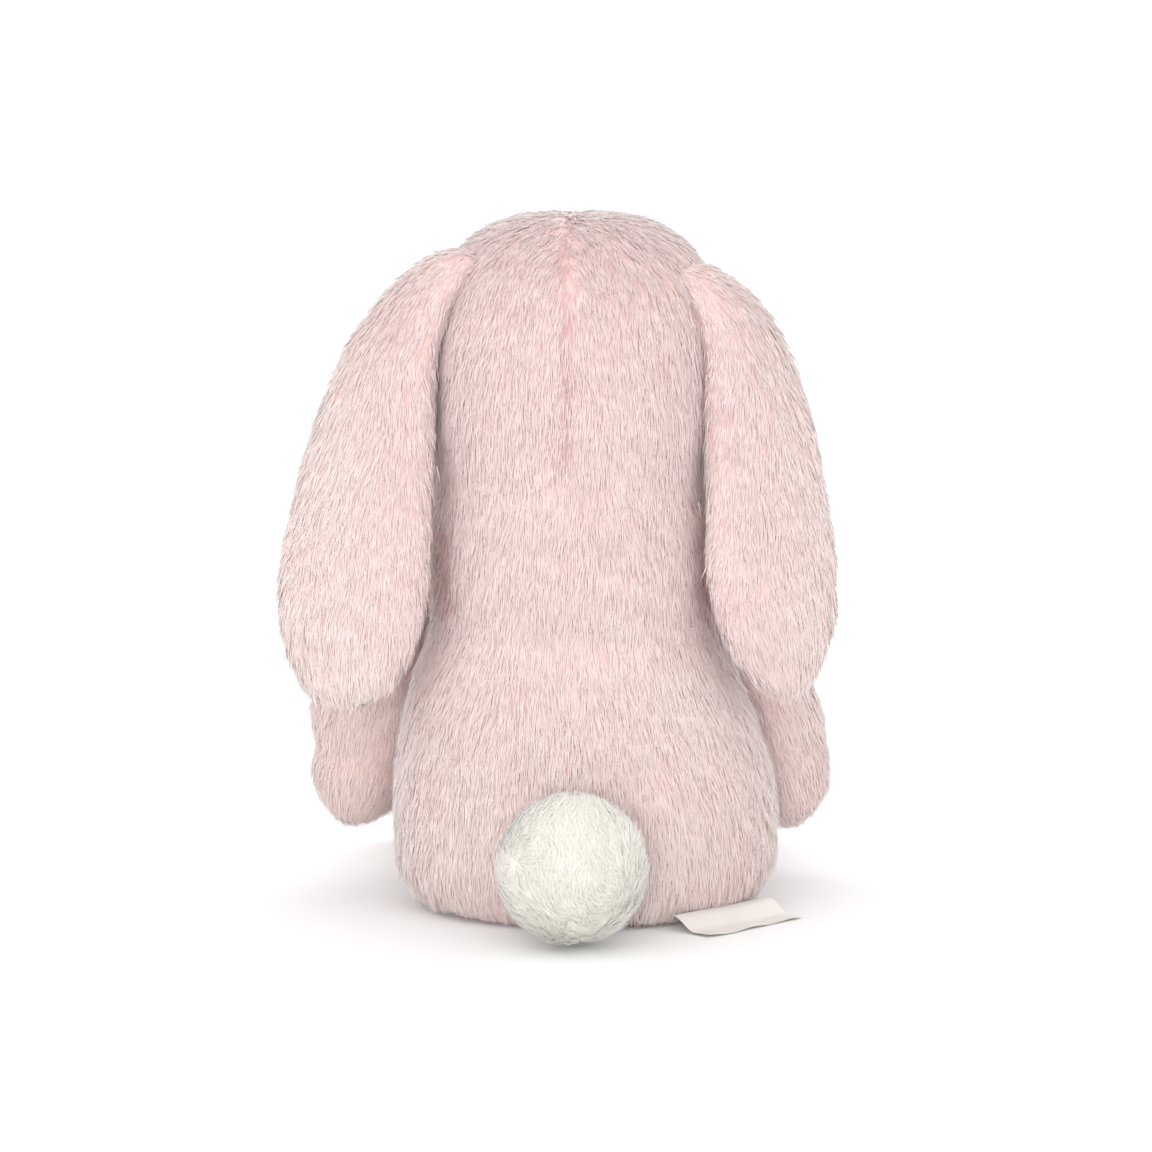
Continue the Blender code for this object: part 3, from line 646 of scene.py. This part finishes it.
def grow(
    name,
    skin,
    where,
    material,
    length=8.8,
    per_mm2=2.9,
    lock=8,
    rise=(17, 1),
    lay=None,
    field=None,
    pull=0.24,
    tone=0.5,
    wander=1.0,
):
    """Fibres in locks over the part of a skin that passes where()."""
    area = skin.cells(where).ravel()
    total = area.sum()
    locks = int(total * per_mm2 / lock)
    pick = np.searchsorted(np.cumsum(area), rng.random(locks) * total)
    pick = np.minimum(pick, len(area) - 1)
    row = pick // skin.shape[1] + rng.random(locks)
    column = pick % skin.shape[1] + rng.random(locks)
    centre = skin.at(skin.points, row, column)
    out = unit(skin.at(skin.normals, row, column))
    along = skin.at(skin.lay, row, column)
    if lay is not None:
        along = lay(centre, along)
    along = unit(along - (along * out).sum(-1, keepdims=True) * out)
    across = np.cross(out, along)
    scale, stand = np.ones(locks), np.zeros(locks)
    shade = tone + 0.22 * tones_wide(centre) + 0.12 * tones_fine(centre)
    if field is not None:
        scale, stand, shade = field(centre, shade)
    turn = 0.10 * turns_wide(centre) + 0.14 * turns_fine(centre)
    turn = (turn + rng.normal(0, 0.07, locks)) * wander
    along, across = (
        along * np.cos(turn)[:, None] + across * np.sin(turn)[:, None],
        across * np.cos(turn)[:, None] - along * np.sin(turn)[:, None],
    )
    scale = scale * rng.uniform(0.82, 1.12, locks)
    first = np.radians(rise[0]) + stand + rng.normal(0, 0.07, locks)
    last = np.radians(rise[1]) + stand + rng.normal(0, 0.05, locks)

    def bend(start, forward, up, size, a, b):
        middle = start + 0.42 * size * (
            up * np.sin(a)[:, None] + forward * np.cos(a)[:, None]
        )
        end = middle + 0.62 * size * (
            up * np.sin(b)[:, None] + forward * np.cos(b)[:, None]
        )
        return middle, end

    size = (length * scale)[:, None]
    lock_middle, lock_end = bend(centre, along, out, size, first, last)

    def each(values):
        return np.repeat(values, lock, axis=0)

    count = locks * lock
    up, forward, side = each(out), each(along), each(across)
    spread = LOCK_SPREAD * rng.normal(size=(count, 2))
    start = each(centre) + spread[:, :1] * side + spread[:, 1:] * forward
    start -= 0.3 * up
    yaw = rng.normal(0, 0.12, count)[:, None]
    heading = forward * np.cos(yaw) + side * np.sin(yaw)
    own = each(size) * rng.uniform(0.68, 1.08, (count, 1))
    middle, end = bend(
        start,
        heading,
        up,
        own,
        each(first) + rng.normal(0, 0.12, count),
        each(last) + rng.normal(0, 0.09, count),
    )
    middle += 0.5 * pull * (each(lock_middle) - middle)
    end += pull * (each(lock_end) - end) * rng.uniform(0.5, 1.2, (count, 1))

    t = JOINTS[None, :, None]
    path = (
        (1 - t) ** 2 * start[:, None]
        + 2 * t * (1 - t) * middle[:, None]
        + t**2 * end[:, None]
    )
    path[..., 2] = np.maximum(path[..., 2], LOWEST + 0.3 * rng.random((count, 1)))
    run = unit(path[:, 2] - path[:, 0])
    flat = unit(np.cross(run, up))
    roll = rng.normal(0, 0.4, (count, 1))
    blade = flat * np.cos(roll) + np.cross(run, flat) * np.sin(roll)
    ridge = np.cross(blade, run)
    width = 0.5 * FIBRE_WIDTH * rng.uniform(0.75, 1.25, (count, 1, 1))
    verts = np.empty((count, 7, 3), np.float32)
    for k, (aside, high) in enumerate(((-1, 0), (0, 0.8), (1, 0))):
        offset = width * (aside * blade + high * ridge)[:, None]
        verts[:, k:6:3] = path[:, :2] + offset
    verts[:, 6] = path[:, 2]
    tilt = 0.22 * np.array([-1, 0, 1, -1, 0, 1, 0])
    normals = unit(up[:, None] + tilt[None, :, None] * blade[:, None])

    corner = np.array([0, 1, 4, 3, 1, 2, 5, 4, 3, 4, 6, 4, 5, 6])
    loops = (np.arange(count)[:, None] * 7 + corner).ravel()
    starts = (np.arange(count)[:, None] * 14 + np.array([0, 4, 8, 11])).ravel()
    along_v = np.array([0.02, 0.02, 0.02, 0.45, 0.45, 0.45, 0.98])
    beside = 0.006 * np.array([-1, 0, 1, -1, 0, 1, 0])
    shade = np.clip(each(shade) + rng.normal(0, 0.07, count), 0.03, 0.97)
    uv = np.stack(
        [
            shade[:, None] + beside[corner][None, :],
            np.broadcast_to(along_v[corner], (count, 14)),
        ],
        axis=-1,
    )

    mesh = bpy.data.meshes.new(name)
    mesh.vertices.add(count * 7)
    mesh.vertices.foreach_set("co", (verts * MM).ravel())
    mesh.loops.add(count * 14)
    mesh.loops.foreach_set("vertex_index", loops.astype(np.int32))
    mesh.polygons.add(count * 4)
    mesh.polygons.foreach_set("loop_start", starts.astype(np.int32))
    layer = mesh.uv_layers.new(name="OFBake")
    layer.uv.foreach_set("vector", uv.astype(np.float32).ravel())
    mesh.update(calc_edges=True)
    mesh.materials.append(material)
    mesh.shade_smooth()
    mesh.normals_split_custom_set_from_vertices(normals.reshape(-1, 3))
    obj = bpy.data.objects.new(name, mesh)
    scene.collection.objects.link(obj)
    return obj


# ---------------------------------------------------------------- the toy


def between(low, high):
    """True for columns whose angle, in degrees, lies from low to high."""
    return lambda u, v, p: ((u - low) % 360 < (high - low)).astype(float)


def hold(piece, body, bend):
    """The piece rides on its body, or, when bend is given, keeps its place with its transform
    baked into the mesh.
    """
    if bend:
        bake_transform(piece)
    else:
        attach(piece, body)


def padded_form(name, skin, material, body, nodes, bend=None):
    form = skin.mesh(name, material)
    hold(form, body, bend)
    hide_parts(*nodes)
    return form


def pile(name, body, slot, *details, bend=None, **more):
    made = grow(name, *details, **more)
    hold(made, body, bend)
    return made


torso = torso_skin()
head = head_skin()
padded_form(
    "torso_cloth",
    torso,
    pink_cloth,
    "torso",
    ["back_panel_left", "back_panel_right", "belly_panel", "seat_panel"],
)
padded_form(
    "head_cloth",
    head,
    pink_cloth,
    "head",
    ["head_side_left", "head_side_right", "face_gusset"],
)


def painted_pocket_shade(centre):
    """Painted shade: deeper pink painted where the ears close over the neck and along their inner
    edges, where shade falls.
    """
    x, y, z = np.abs(centre[:, 0]), centre[:, 1], centre[:, 2]
    painted_crease_shade = smooth_step(30, 46, x) * smooth_step(60, 50, x) * smooth_step(-12, 4, y)
    painted_crease_shade *= smooth_step(84, 100, z) * smooth_step(196, 180, z)
    # painted shade in the corner where ear, head and neck meet
    corner = np.exp(-(((x - 42) / 9) ** 2 + ((y - 14) / 9) ** 2 + ((z - 112) / 14) ** 2))
    return 0.7 * corner + 0.22 * painted_crease_shade


PARTING = 3.0  # how far the centre-back seam lies towards the left ear


def back_field(centre, shade):
    """A darker, shorter parting on the head's centre-back seam, painted light that runs paler
    towards the bottom, and painted shade in the pockets.
    """
    height = centre[:, 2]
    behind = (centre[:, 1] > 0) * smooth_step(140, 160, height)
    near = np.exp(-(((centre[:, 0] - PARTING) / 1.5) ** 2)) * behind
    crown = smooth_step(176, 194, height)
    # painted light: the pile is painted paler low on the body and darker on the head, evening out
    # how the light falls on it
    shade = (
        shade
        + 0.25 * smooth_step(110, 50, height)
        - 0.10 * smooth_step(110, 150, height)
    )
    # a deeper tone on the crown and the parting, less the painted shade of the pockets and
    # creases
    shade = np.clip(shade - 0.14 * crown, 0.21, 1) - 0.5 * near - painted_pocket_shade(centre)
    return (1 - 0.3 * near) * (1 - 0.22 * crown), 0 * near, shade


TORSO_PILE_TOP, HEAD_PILE_LOW = 97, 121
BAND_LOW, BAND_HIGH = 91.0, 129.0  # the neck band lies under both


def over_rim(low, high):
    """Between two columns, below the shoulders and outside the neck's cup."""

    def where(u, v, p):
        inside = np.hypot(p[..., 0], p[..., 1] - NECK_Y) < NECK_RADIUS - 3.5
        z = p[..., 2]
        shown = (z > 0.8) & ~(inside & (z > 80)) & (z < TORSO_PILE_TOP)
        return between(low, high)(u, v, p) * shown

    return where


for name, low, high, density in (
    ("pile_back_left", 0, SIDE_SEAM, 2.7),
    ("pile_back_right", -SIDE_SEAM, 0, 2.7),
    ("pile_belly", SIDE_SEAM, 360 - SIDE_SEAM, 2.45),
):
    pile(
        name,
        "torso",
        "pink_plush",
        torso,
        over_rim(low, high),
        pink_pile,
        per_mm2=density,
        field=back_field,
    )


def neck_skin():
    """The sewn neck: cloth that runs from the shoulders up to the nape and cheeks."""
    low, high, grid = [], [], []
    for c in range(torso.shape[1]):
        for skin, height, ends in ((torso, BAND_LOW, low), (head, BAND_HIGH, high)):
            line = skin.points[:, c]
            reach = np.hypot(line[:, 0], line[:, 1] - NECK_Y)
            outside = np.flatnonzero((reach > 36) & (line[:, 2] > 60))
            line = line[outside[0] : outside[-1] + 1]
            z = line[:, 2]
            order = np.argsort(z)
            ends.append([np.interp(height, z[order], line[order, k]) for k in range(3)])
    low, high = np.array(low), np.array(high)
    centre = np.array((0, NECK_Y, 0))
    for t in np.linspace(0, 1, 30):
        ease = t + 0.10 * math.sin(TAU * t)
        ring = low * (1 - ease) + high * ease
        ring[:, 2] = low[:, 2] * (1 - t) + high[:, 2] * t
        tuck = 1 + 0.012 * math.sin(math.pi * t) ** 2
        flat = (ring - centre) * (tuck, tuck, 1)
        grid.append(flat + centre)
    return Skin(np.array(grid), comb=-1, inset=-0.2)


neck = neck_skin()
band = neck.mesh("neck_cloth", pink_cloth)
neck_hair = grow("pile_neck", neck, between(0, 360), pink_pile, field=back_field)
for piece in (band, neck_hair):
    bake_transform(piece)

NOSE = np.array([0.0, -58.0, BALL[2] + 11])  # where the face's pile parts


def head_lay(centre, along):
    """Back from the nose on the face, sideways off the crown's parting, and down behind."""
    away = unit(centre - NOSE)
    front = smooth_step(12, -25, centre[:, 1])[:, None]
    aside = centre[:, 0] - PARTING
    parting = np.tanh(aside / 2) * np.exp(-np.abs(aside) / 7)
    parting *= smooth_step(190, 208, centre[:, 2]) * 0.6 + 0.10
    behind = unit(along + parting[:, None] * np.array([1.0, 0.0, 0.0]))
    return unit(behind * (1 - front) + away * front)


def above_neck(low, high):
    """Between two columns, above the neck and clear of the nose and eyes."""

    def where(u, v, p):
        shown = between(low, high)(u, v, p) * (p[..., 2] > HEAD_PILE_LOW)
        shown *= clear_of(p * (1, 1, 1.1), NOSE_MIDDLE * (1, 1, 1.1), 5.4)
        for eye in EYES:
            shown *= clear_of(p, eye, 4.4)
        return shown

    return where


def on_head(angle, height, lift=0.0):
    """A point on the head's cloth, by angle from the back and height, and the way out there."""
    column = angle % 360 / 360 * head.shape[1]
    line = head.at(
        head.points,
        np.arange(head.shape[0] - 1.0),
        np.full(head.shape[0] - 1, column),
    )
    row = np.array([np.interp(height, line[:, 2], np.arange(len(line)))])
    out = unit(head.at(head.normals, row, np.array([column])))[0]
    return head.at(head.points, row, np.array([column]))[0] + lift * out, out


EYE_ANGLE, EYE_HEIGHT = 138.0, BALL[2] + 30
NOSE_MIDDLE, _ = on_head(180, BALL[2] + 12)
EYES = [on_head(side * EYE_ANGLE, EYE_HEIGHT)[0] for side in (1, -1)]


def clear_of(points, place, reach):
    return np.linalg.norm(points - place, axis=-1) > reach


def face_field(centre, shade):
    """Close pile on the muzzle and round the eyes, longer towards the cheeks."""
    near = np.exp(-((np.linalg.norm(centre - NOSE_MIDDLE, axis=1) / 19) ** 2))
    for eye in EYES:
        near += 0.7 * np.exp(-((np.linalg.norm(centre - eye, axis=1) / 10) ** 2))
    scale, stand, shade = back_field(centre, shade)
    chin = smooth_step(134, 122, centre[:, 2]) * smooth_step(22, 6, centre[:, 1])
    chin *= 0.5 + 0.3 * smooth_step(-28, -44, centre[:, 1])
    return scale * (1 - 0.62 * np.clip(near, 0, 1)) * (1 - chin), stand - 0.2 * chin, shade


def ear_field(centre, shade):
    """Close pile where the ear is sewn in, a painted rim light that pales the outer edge, and
    painted shade along the inner edge.
    """
    root = smooth_step(34, 56, np.abs(centre[:, 0]))
    # painted rim light: the outer edge of the ear is painted paler where light catches it
    painted_rim_light = smooth_step(54, 76, np.abs(centre[:, 0]))
    shade = np.clip(shade + 0.5 * painted_rim_light, 0.25, 1) - painted_pocket_shade(centre)
    return 0.45 + 0.55 * root, 0 * root, shade


GUSSET = 34.0  # half the face gusset's width in degrees
for name, low, high in (
    ("pile_head_left", 0, 180 - GUSSET),
    ("pile_head_right", GUSSET - 180, 0),
    ("pile_face", 180 - GUSSET, 180 + GUSSET),
):
    pile(
        name,
        "head",
        "pink_plush",
        head,
        above_neck(low, high),
        pink_pile,
        lay=head_lay,
        field=face_field,
    )

SOLE_FROM = 0.77  # share of the leg's length, over its rounded end

for side, word in ((1, "left"), (-1, "right")):
    ear = ear_skin(side)
    root = ((side * 0.028, 0.0095, 0.200), (side * 0.050, 0.0095, 0.190))
    padded_form(
        f"ear_{word}_cloth",
        ear,
        pink_cloth,
        f"ear_{word}",
        [f"ear_{word}_outer", f"ear_{word}_lining"],
        bend=root,
    )
    for kind, low, high, slot in (
        ("outer", -90, 90, "pink_plush"),
        ("lining", 90, 270, "pink_ear_lining"),
    ):
        pile(
            f"pile_ear_{word}_{kind}",
            f"ear_{word}",
            slot,
            ear,
            between(low, high),
            pink_pile,
            length=7.6,
            field=ear_field,
            bend=root,
        )

    arm = arm_skin(side, torso)
    padded_form(
        f"arm_{word}_cloth",
        arm,
        pink_cloth,
        f"arm_{word}",
        [f"arm_{word}_outer", f"arm_{word}_inner"],
    )
    pile(
        f"pile_arm_{word}",
        f"arm_{word}",
        "pink_plush",
        arm,
        between(0, 360),
        pink_pile,
        length=7.6,
    )

    leg = leg_skin(side)
    padded_form(
        f"leg_{word}_cloth",
        leg,
        pink_cloth,
        f"leg_{word}",
        [f"leg_{word}_cover", f"leg_{word}_sole"],
    )
    pile(
        f"pile_leg_{word}",
        f"leg_{word}",
        "pink_plush",
        leg,
        lambda u, v, p: (v < SOLE_FROM).astype(float),
        pink_pile,
        length=7.6,
    )
    pile(
        f"pile_sole_{word}",
        f"leg_{word}",
        "pink_sole_plush",
        leg,
        lambda u, v, p: (v >= SOLE_FROM).astype(float),
        pink_pile,
        length=3.0,
        rise=(26, 8),
        per_mm2=4.5,
        wander=2.5,
    )

tail = tail_skin()
padded_form(
    "tail_cloth", tail, cream_cloth, "tail", ["tail_cover"]
)
swirls = [Waves(26.0) for _ in range(3)]


def pompom_lay(centre, along):
    """Pile that turns every way, as on a clipped pompom."""
    return along + 0.9 * np.stack([wave(centre) for wave in swirls], axis=-1)


pile(
    "pile_tail",
    "tail",
    "cream_plush",
    tail,
    lambda u, v, p: (p[..., 1] > TAIL_SEAM + 3).astype(float),
    cream_pile,
    length=5.4,
    rise=(20, 3),
    per_mm2=5.4,
    wander=3.0,
    lay=pompom_lay,
)

# ---------------------------------------------------------------- eyes, nose, mouth and label

bead_finish = Finish("black_bead", Coat_Weight=0.6, Coat_Roughness=0.05)
bead_finish.set(
    "Base Color",
    bead_finish.mix(bead_finish.noise(300.0), (0.012, 0.010, 0.010), (0.022, 0.018, 0.017)),
)
bead_finish.set("Roughness", 0.12 + 0.06 * bead_finish.noise(900.0))

thread_finish = Finish("rose_thread", Sheen_Weight=0.3)
twist = thread_finish.add(
    "TexWave", {"bands_direction": "DIAGONAL"}, {"Scale": 700.0, "Distortion": 0.6}
)("Fac")
thread_finish.set(
    "Base Color", thread_finish.mix(twist, (0.42, 0.155, 0.165), (0.58, 0.26, 0.26))
)
thread_finish.set("Roughness", 0.45 + 0.15 * twist)
thread_finish.bump(twist, 0.35, 0.0002)

satin_finish = Finish("white_satin", Sheen_Weight=0.25)
weave = satin_finish.add(
    "TexWave", {"bands_direction": "X"}, {"Scale": 900.0, "Distortion": 0.8}
)("Fac")
satin_finish.set(
    "Base Color",
    satin_finish.mix(satin_finish.noise(60.0), (0.80, 0.75, 0.70), (0.85, 0.81, 0.765)),
)
satin_finish.set("Roughness", 0.34 + 0.12 * weave)
satin_finish.bump(weave, 0.15, 0.0001)

for side, word, place in ((1, "left", EYES[0]), (-1, "right", EYES[1])):
    out = on_head(side * EYE_ANGLE, EYE_HEIGHT)[1]
    rows = [(-2.4, 0.4, 0.4, 0.4, 0), (-2.2, 3.6, 3.6, 3.6, 0), (-0.6, 4.1, 4.1, 4.1, 0)]
    rows += [
        (-0.4 + 3.4 * math.sin(a), *[4.6 * math.cos(a)] * 3, 0)
        for a in np.linspace(0, math.pi / 2 - 0.03, 20)
    ]
    grid = ovals(rows, 40, 40, frame_matrix(out, (0, 0, 1), place + 1.2 * out))
    eye = Skin(grid, inset=0).mesh(f"eye_{word}_bead", bead_finish.material)
    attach(eye, "head")
    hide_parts(f"eye_{word}")


def tube(points, radius, sides=8):
    """Vertices and faces of a thread along points, thinner at both ends."""
    points = np.array(points)
    run = unit(np.gradient(points, axis=0))
    first = unit(np.cross(run, (0.0, 1.0, 0.3)))
    second = np.cross(run, first)
    a = np.linspace(0, TAU, sides, endpoint=False)
    size = radius * np.sqrt(
        np.clip(1 - np.linspace(-1, 1, len(points)) ** 8, 0.15, 1)
    )
    rings = (
        points[:, None]
        + size[:, None, None] * np.cos(a)[None, :, None] * first[:, None]
        + size[:, None, None] * np.sin(a)[None, :, None] * second[:, None]
    )
    faces = [
        (
            i * sides + j,
            i * sides + (j + 1) % sides,
            (i + 1) * sides + (j + 1) % sides,
            (i + 1) * sides + j,
        )
        for i in range(len(points) - 1)
        for j in range(sides)
    ]
    faces += [
        tuple(reversed(range(sides))),
        tuple((len(points) - 1) * sides + j for j in range(sides)),
    ]
    return rings.reshape(-1, 3), faces


def stitched(name, threads, node):
    """One piece made of threads."""
    verts, faces = [], []
    for points, radius in threads:
        made, around = tube(points, radius)
        base = sum(len(v) for v in verts)
        verts.append(made)
        faces += [tuple(base + k for k in f) for f in around]
    piece = solid(name, np.concatenate(verts), faces, thread_finish.material)
    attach(piece, "head")
    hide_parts(node)


MUZZLE_R = abs(NOSE_MIDDLE[1] - BALL[1])


def stitch(from_xz, to_xz, lift, radius):
    """A thread over the muzzle from one place to another, in mm from the nose's middle."""
    path = []
    for t in np.linspace(0, 1, 12):
        x, z = (a + (b - a) * t for a, b in zip(from_xz, to_xz))
        angle = 180 - math.degrees(math.atan2(x, MUZZLE_R))
        swell = lift + 0.3 * math.sin(math.pi * t)
        path.append(on_head(angle, NOSE_MIDDLE[2] + z, swell)[0])
    return path, radius


nose_threads = []
for x in np.linspace(-5.6, 5.6, 17):
    share = abs(x) / 6.2
    top, low = 3.2 - 1.4 * share**2, -4.0 + 5.6 * share**1.3
    nose_threads.append(stitch((x, top), (0.72 * x, low), 0.5, 0.42))
stitched("nose_satin_stitch", nose_threads, "nose_embroidery")
mouth_threads = [stitch((0, -3.6), (0, -8.2), 0.7, 0.5)]
for side in (1, -1):
    corners = [(0, -8.0), (2.6 * side, -10.2), (5.4 * side, -10.6), (7.6 * side, -9.2)]
    mouth_threads += [
        stitch(a, b, 0.7, 0.5) for a, b in zip(corners, corners[1:])
    ]
stitched("mouth_stitching", mouth_threads, "mouth_stitch")

# The label leaves its seam a little above the floor, comes down and lies there
LABEL_SEAM = np.array((-45.0, 27.5, 0.0))
LABEL_ALONG = unit(np.array((0.725, 0.689, 0.0)))
LABEL_OUT = np.array((-0.689, 0.725, 0.0))
LABEL_WIDE, LABEL_REACH, LABEL_RISE = 42, 15.5, 4.4
reach = np.linspace(0, 1, 15)
drop = LABEL_RISE * (1 - smooth_step(0.0, 0.6, reach)) + 0.35
columns = np.linspace(-0.5, 0.5, 31)
verts = []
for t, z in zip(reach, drop):
    for c in columns:
        ripple = 0.5 * t * math.sin(7 * c + 1.2) ** 2
        curl = 1.6 * t**2 * max(0, c - 0.25) ** 1.5
        verts.append(
            LABEL_SEAM
            + LABEL_WIDE * c * LABEL_ALONG
            + (LABEL_REACH * t + 0.6 * t * math.sin(5 * c)) * LABEL_OUT
            + np.array((0, 0, z + (ripple + curl)))
        )
across = len(columns)
faces = [
    (i * across + j, i * across + j + 1, (i + 1) * across + j + 1, (i + 1) * across + j)
    for i in range(len(reach) - 1)
    for j in range(across - 1)
]
label = solid("satin_label_sheet", verts, faces, satin_finish.material)
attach(label, "label")
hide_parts("sewn_label")

# What lies inside, and the solid plush under the pile
wadding = cloth_finish("white_wadding", (0.84, 0.83, 0.80), (0.92, 0.91, 0.89))
cotton = cloth_finish("cotton_pouch", (0.80, 0.77, 0.70), (0.86, 0.84, 0.78))
plastic = cloth_finish("white_plastic", (0.82, 0.82, 0.81), (0.86, 0.86, 0.85))
for name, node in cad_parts.items():
    if "stuffing" in name:
        inside = wadding
    elif "pouch" in name:
        inside = cotton
    elif "washer" in name:
        inside = plastic
    elif name.startswith("eye"):
        inside = bead_finish.material
    elif name in ("nose_embroidery", "mouth_stitch"):
        inside = thread_finish.material
    elif name == "sewn_label":
        inside = satin_finish.material
    else:
        inside = cream_cloth if name == "tail_cover" else pink_cloth
    node.data.materials.clear()
    node.data.materials.append(inside)

# ---------------------------------------------------------------- floor

floor_finish = Finish("paper_floor", Roughness=0.9)
floor_finish.set(
    "Base Color",
    floor_finish.mix(
        floor_finish.noise(3.0), (0.93, 0.93, 0.93), (0.95, 0.95, 0.95)
    ),
)
FLOOR_RADIUS = 9000
ring = np.linspace(0, TAU, 64, endpoint=False)
floor = solid(
    "floor",
    np.stack([FLOOR_RADIUS * np.cos(ring), FLOOR_RADIUS * np.sin(ring), 0 * ring], axis=-1),
    [tuple(range(64))],
    floor_finish.material,
)
